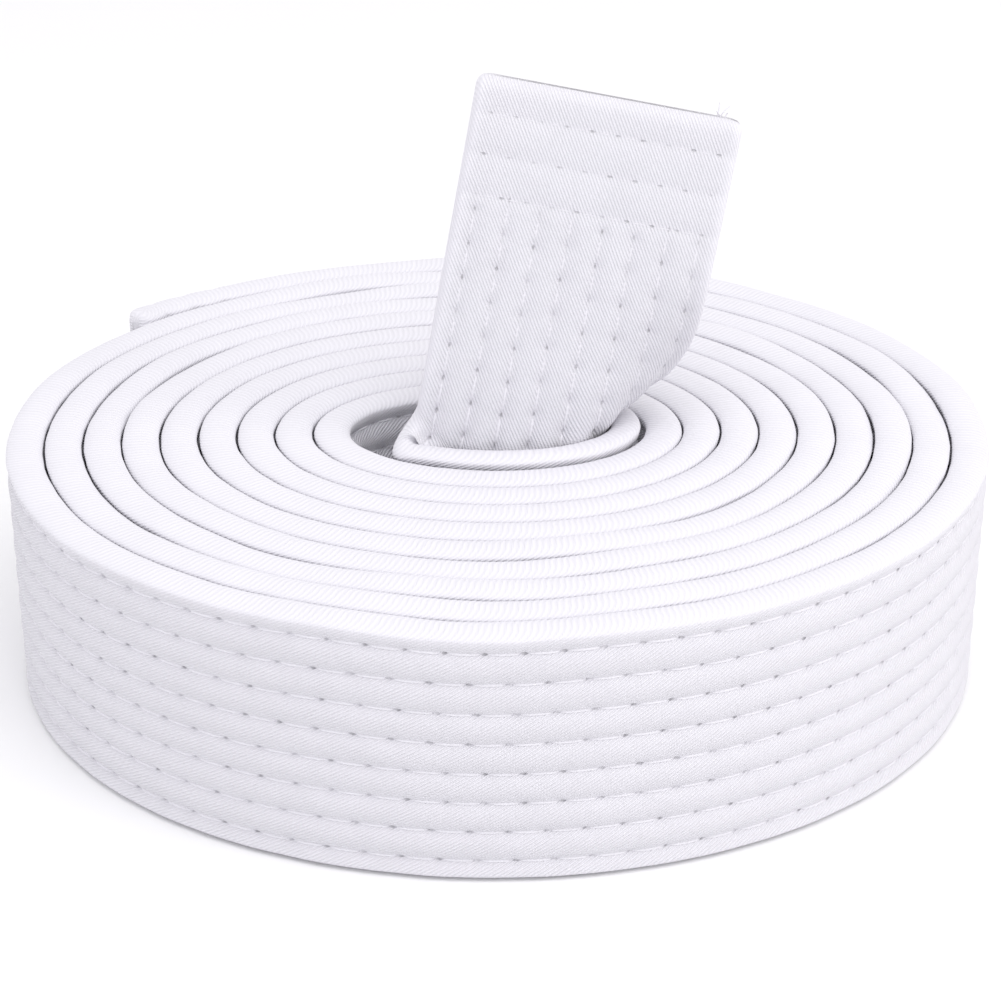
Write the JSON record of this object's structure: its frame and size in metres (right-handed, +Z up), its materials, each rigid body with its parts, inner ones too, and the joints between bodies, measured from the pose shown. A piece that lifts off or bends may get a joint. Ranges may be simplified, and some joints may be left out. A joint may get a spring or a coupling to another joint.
{
  "type": "martial arts belt",
  "caption": "White padded martial-arts belt wound on edge into an oval coil, with its inner end folded up to stand above the rim; worn tied round the waist.",
  "frame": {"origin": "centre of the object's bounding box, at its base, on the surface the coil stands on", "axes": "+Z up across the belt's width, +X along the coil's longer side, -Y towards the side that the standing end faces"},
  "size_m": [0.1532, 0.1382, 0.0969],
  "materials": {
    "cover": "bleached cotton twill, matt",
    "core": "unbleached cotton interlining, matt",
    "thread": "white sewing thread, slight sheen"
  },
  "bodies": {
    "coil": {"cover_coil": "cover", "core_coil": "core", "stitch_row_1_coil": "thread", "stitch_row_2_coil": "thread", "stitch_row_3_coil": "thread", "stitch_row_4_coil": "thread", "stitch_row_5_coil": "thread", "stitch_row_6_coil": "thread", "stitch_row_7_coil": "thread", "stitch_row_8_coil": "thread"},
    "standing_end": {"cover_standing_end": "cover", "core_standing_end": "core", "stitch_row_1_standing_end": "thread", "stitch_row_2_standing_end": "thread", "stitch_row_3_standing_end": "thread", "stitch_row_4_standing_end": "thread", "stitch_row_5_standing_end": "thread", "stitch_row_6_standing_end": "thread", "stitch_row_7_standing_end": "thread", "stitch_row_8_standing_end": "thread", "end_stitch_1_standing_end": "thread", "end_stitch_2_standing_end": "thread", "end_stitch_3_standing_end": "thread"},
    "outer_tail": {"cover_outer_tail": "cover", "core_outer_tail": "core", "stitch_row_1_outer_tail": "thread", "stitch_row_2_outer_tail": "thread", "stitch_row_3_outer_tail": "thread", "stitch_row_4_outer_tail": "thread", "stitch_row_5_outer_tail": "thread", "stitch_row_6_outer_tail": "thread", "stitch_row_7_outer_tail": "thread", "stitch_row_8_outer_tail": "thread", "end_stitch_1_outer_tail": "thread", "end_stitch_2_outer_tail": "thread", "end_stitch_3_outer_tail": "thread"}
  },
  "joints": [
    {"name": "standing_end_bend", "type": "hinge", "parent": "coil", "child": "standing_end", "pos_m": [0.01144, -0.00616, 0.06457], "axis": [0.9829, -0.0256, -0.1822], "range_deg": [-45, 45], "stiffness_Nm_per_rad": 0.004},
    {"name": "outer_tail_peel", "type": "hinge", "parent": "coil", "child": "outer_tail", "pos_m": [-0.01158, 0.06566, 0.02], "axis": [0, 0, -1], "range_deg": [0, 50], "stiffness_Nm_per_rad": 0.01}
  ]
}
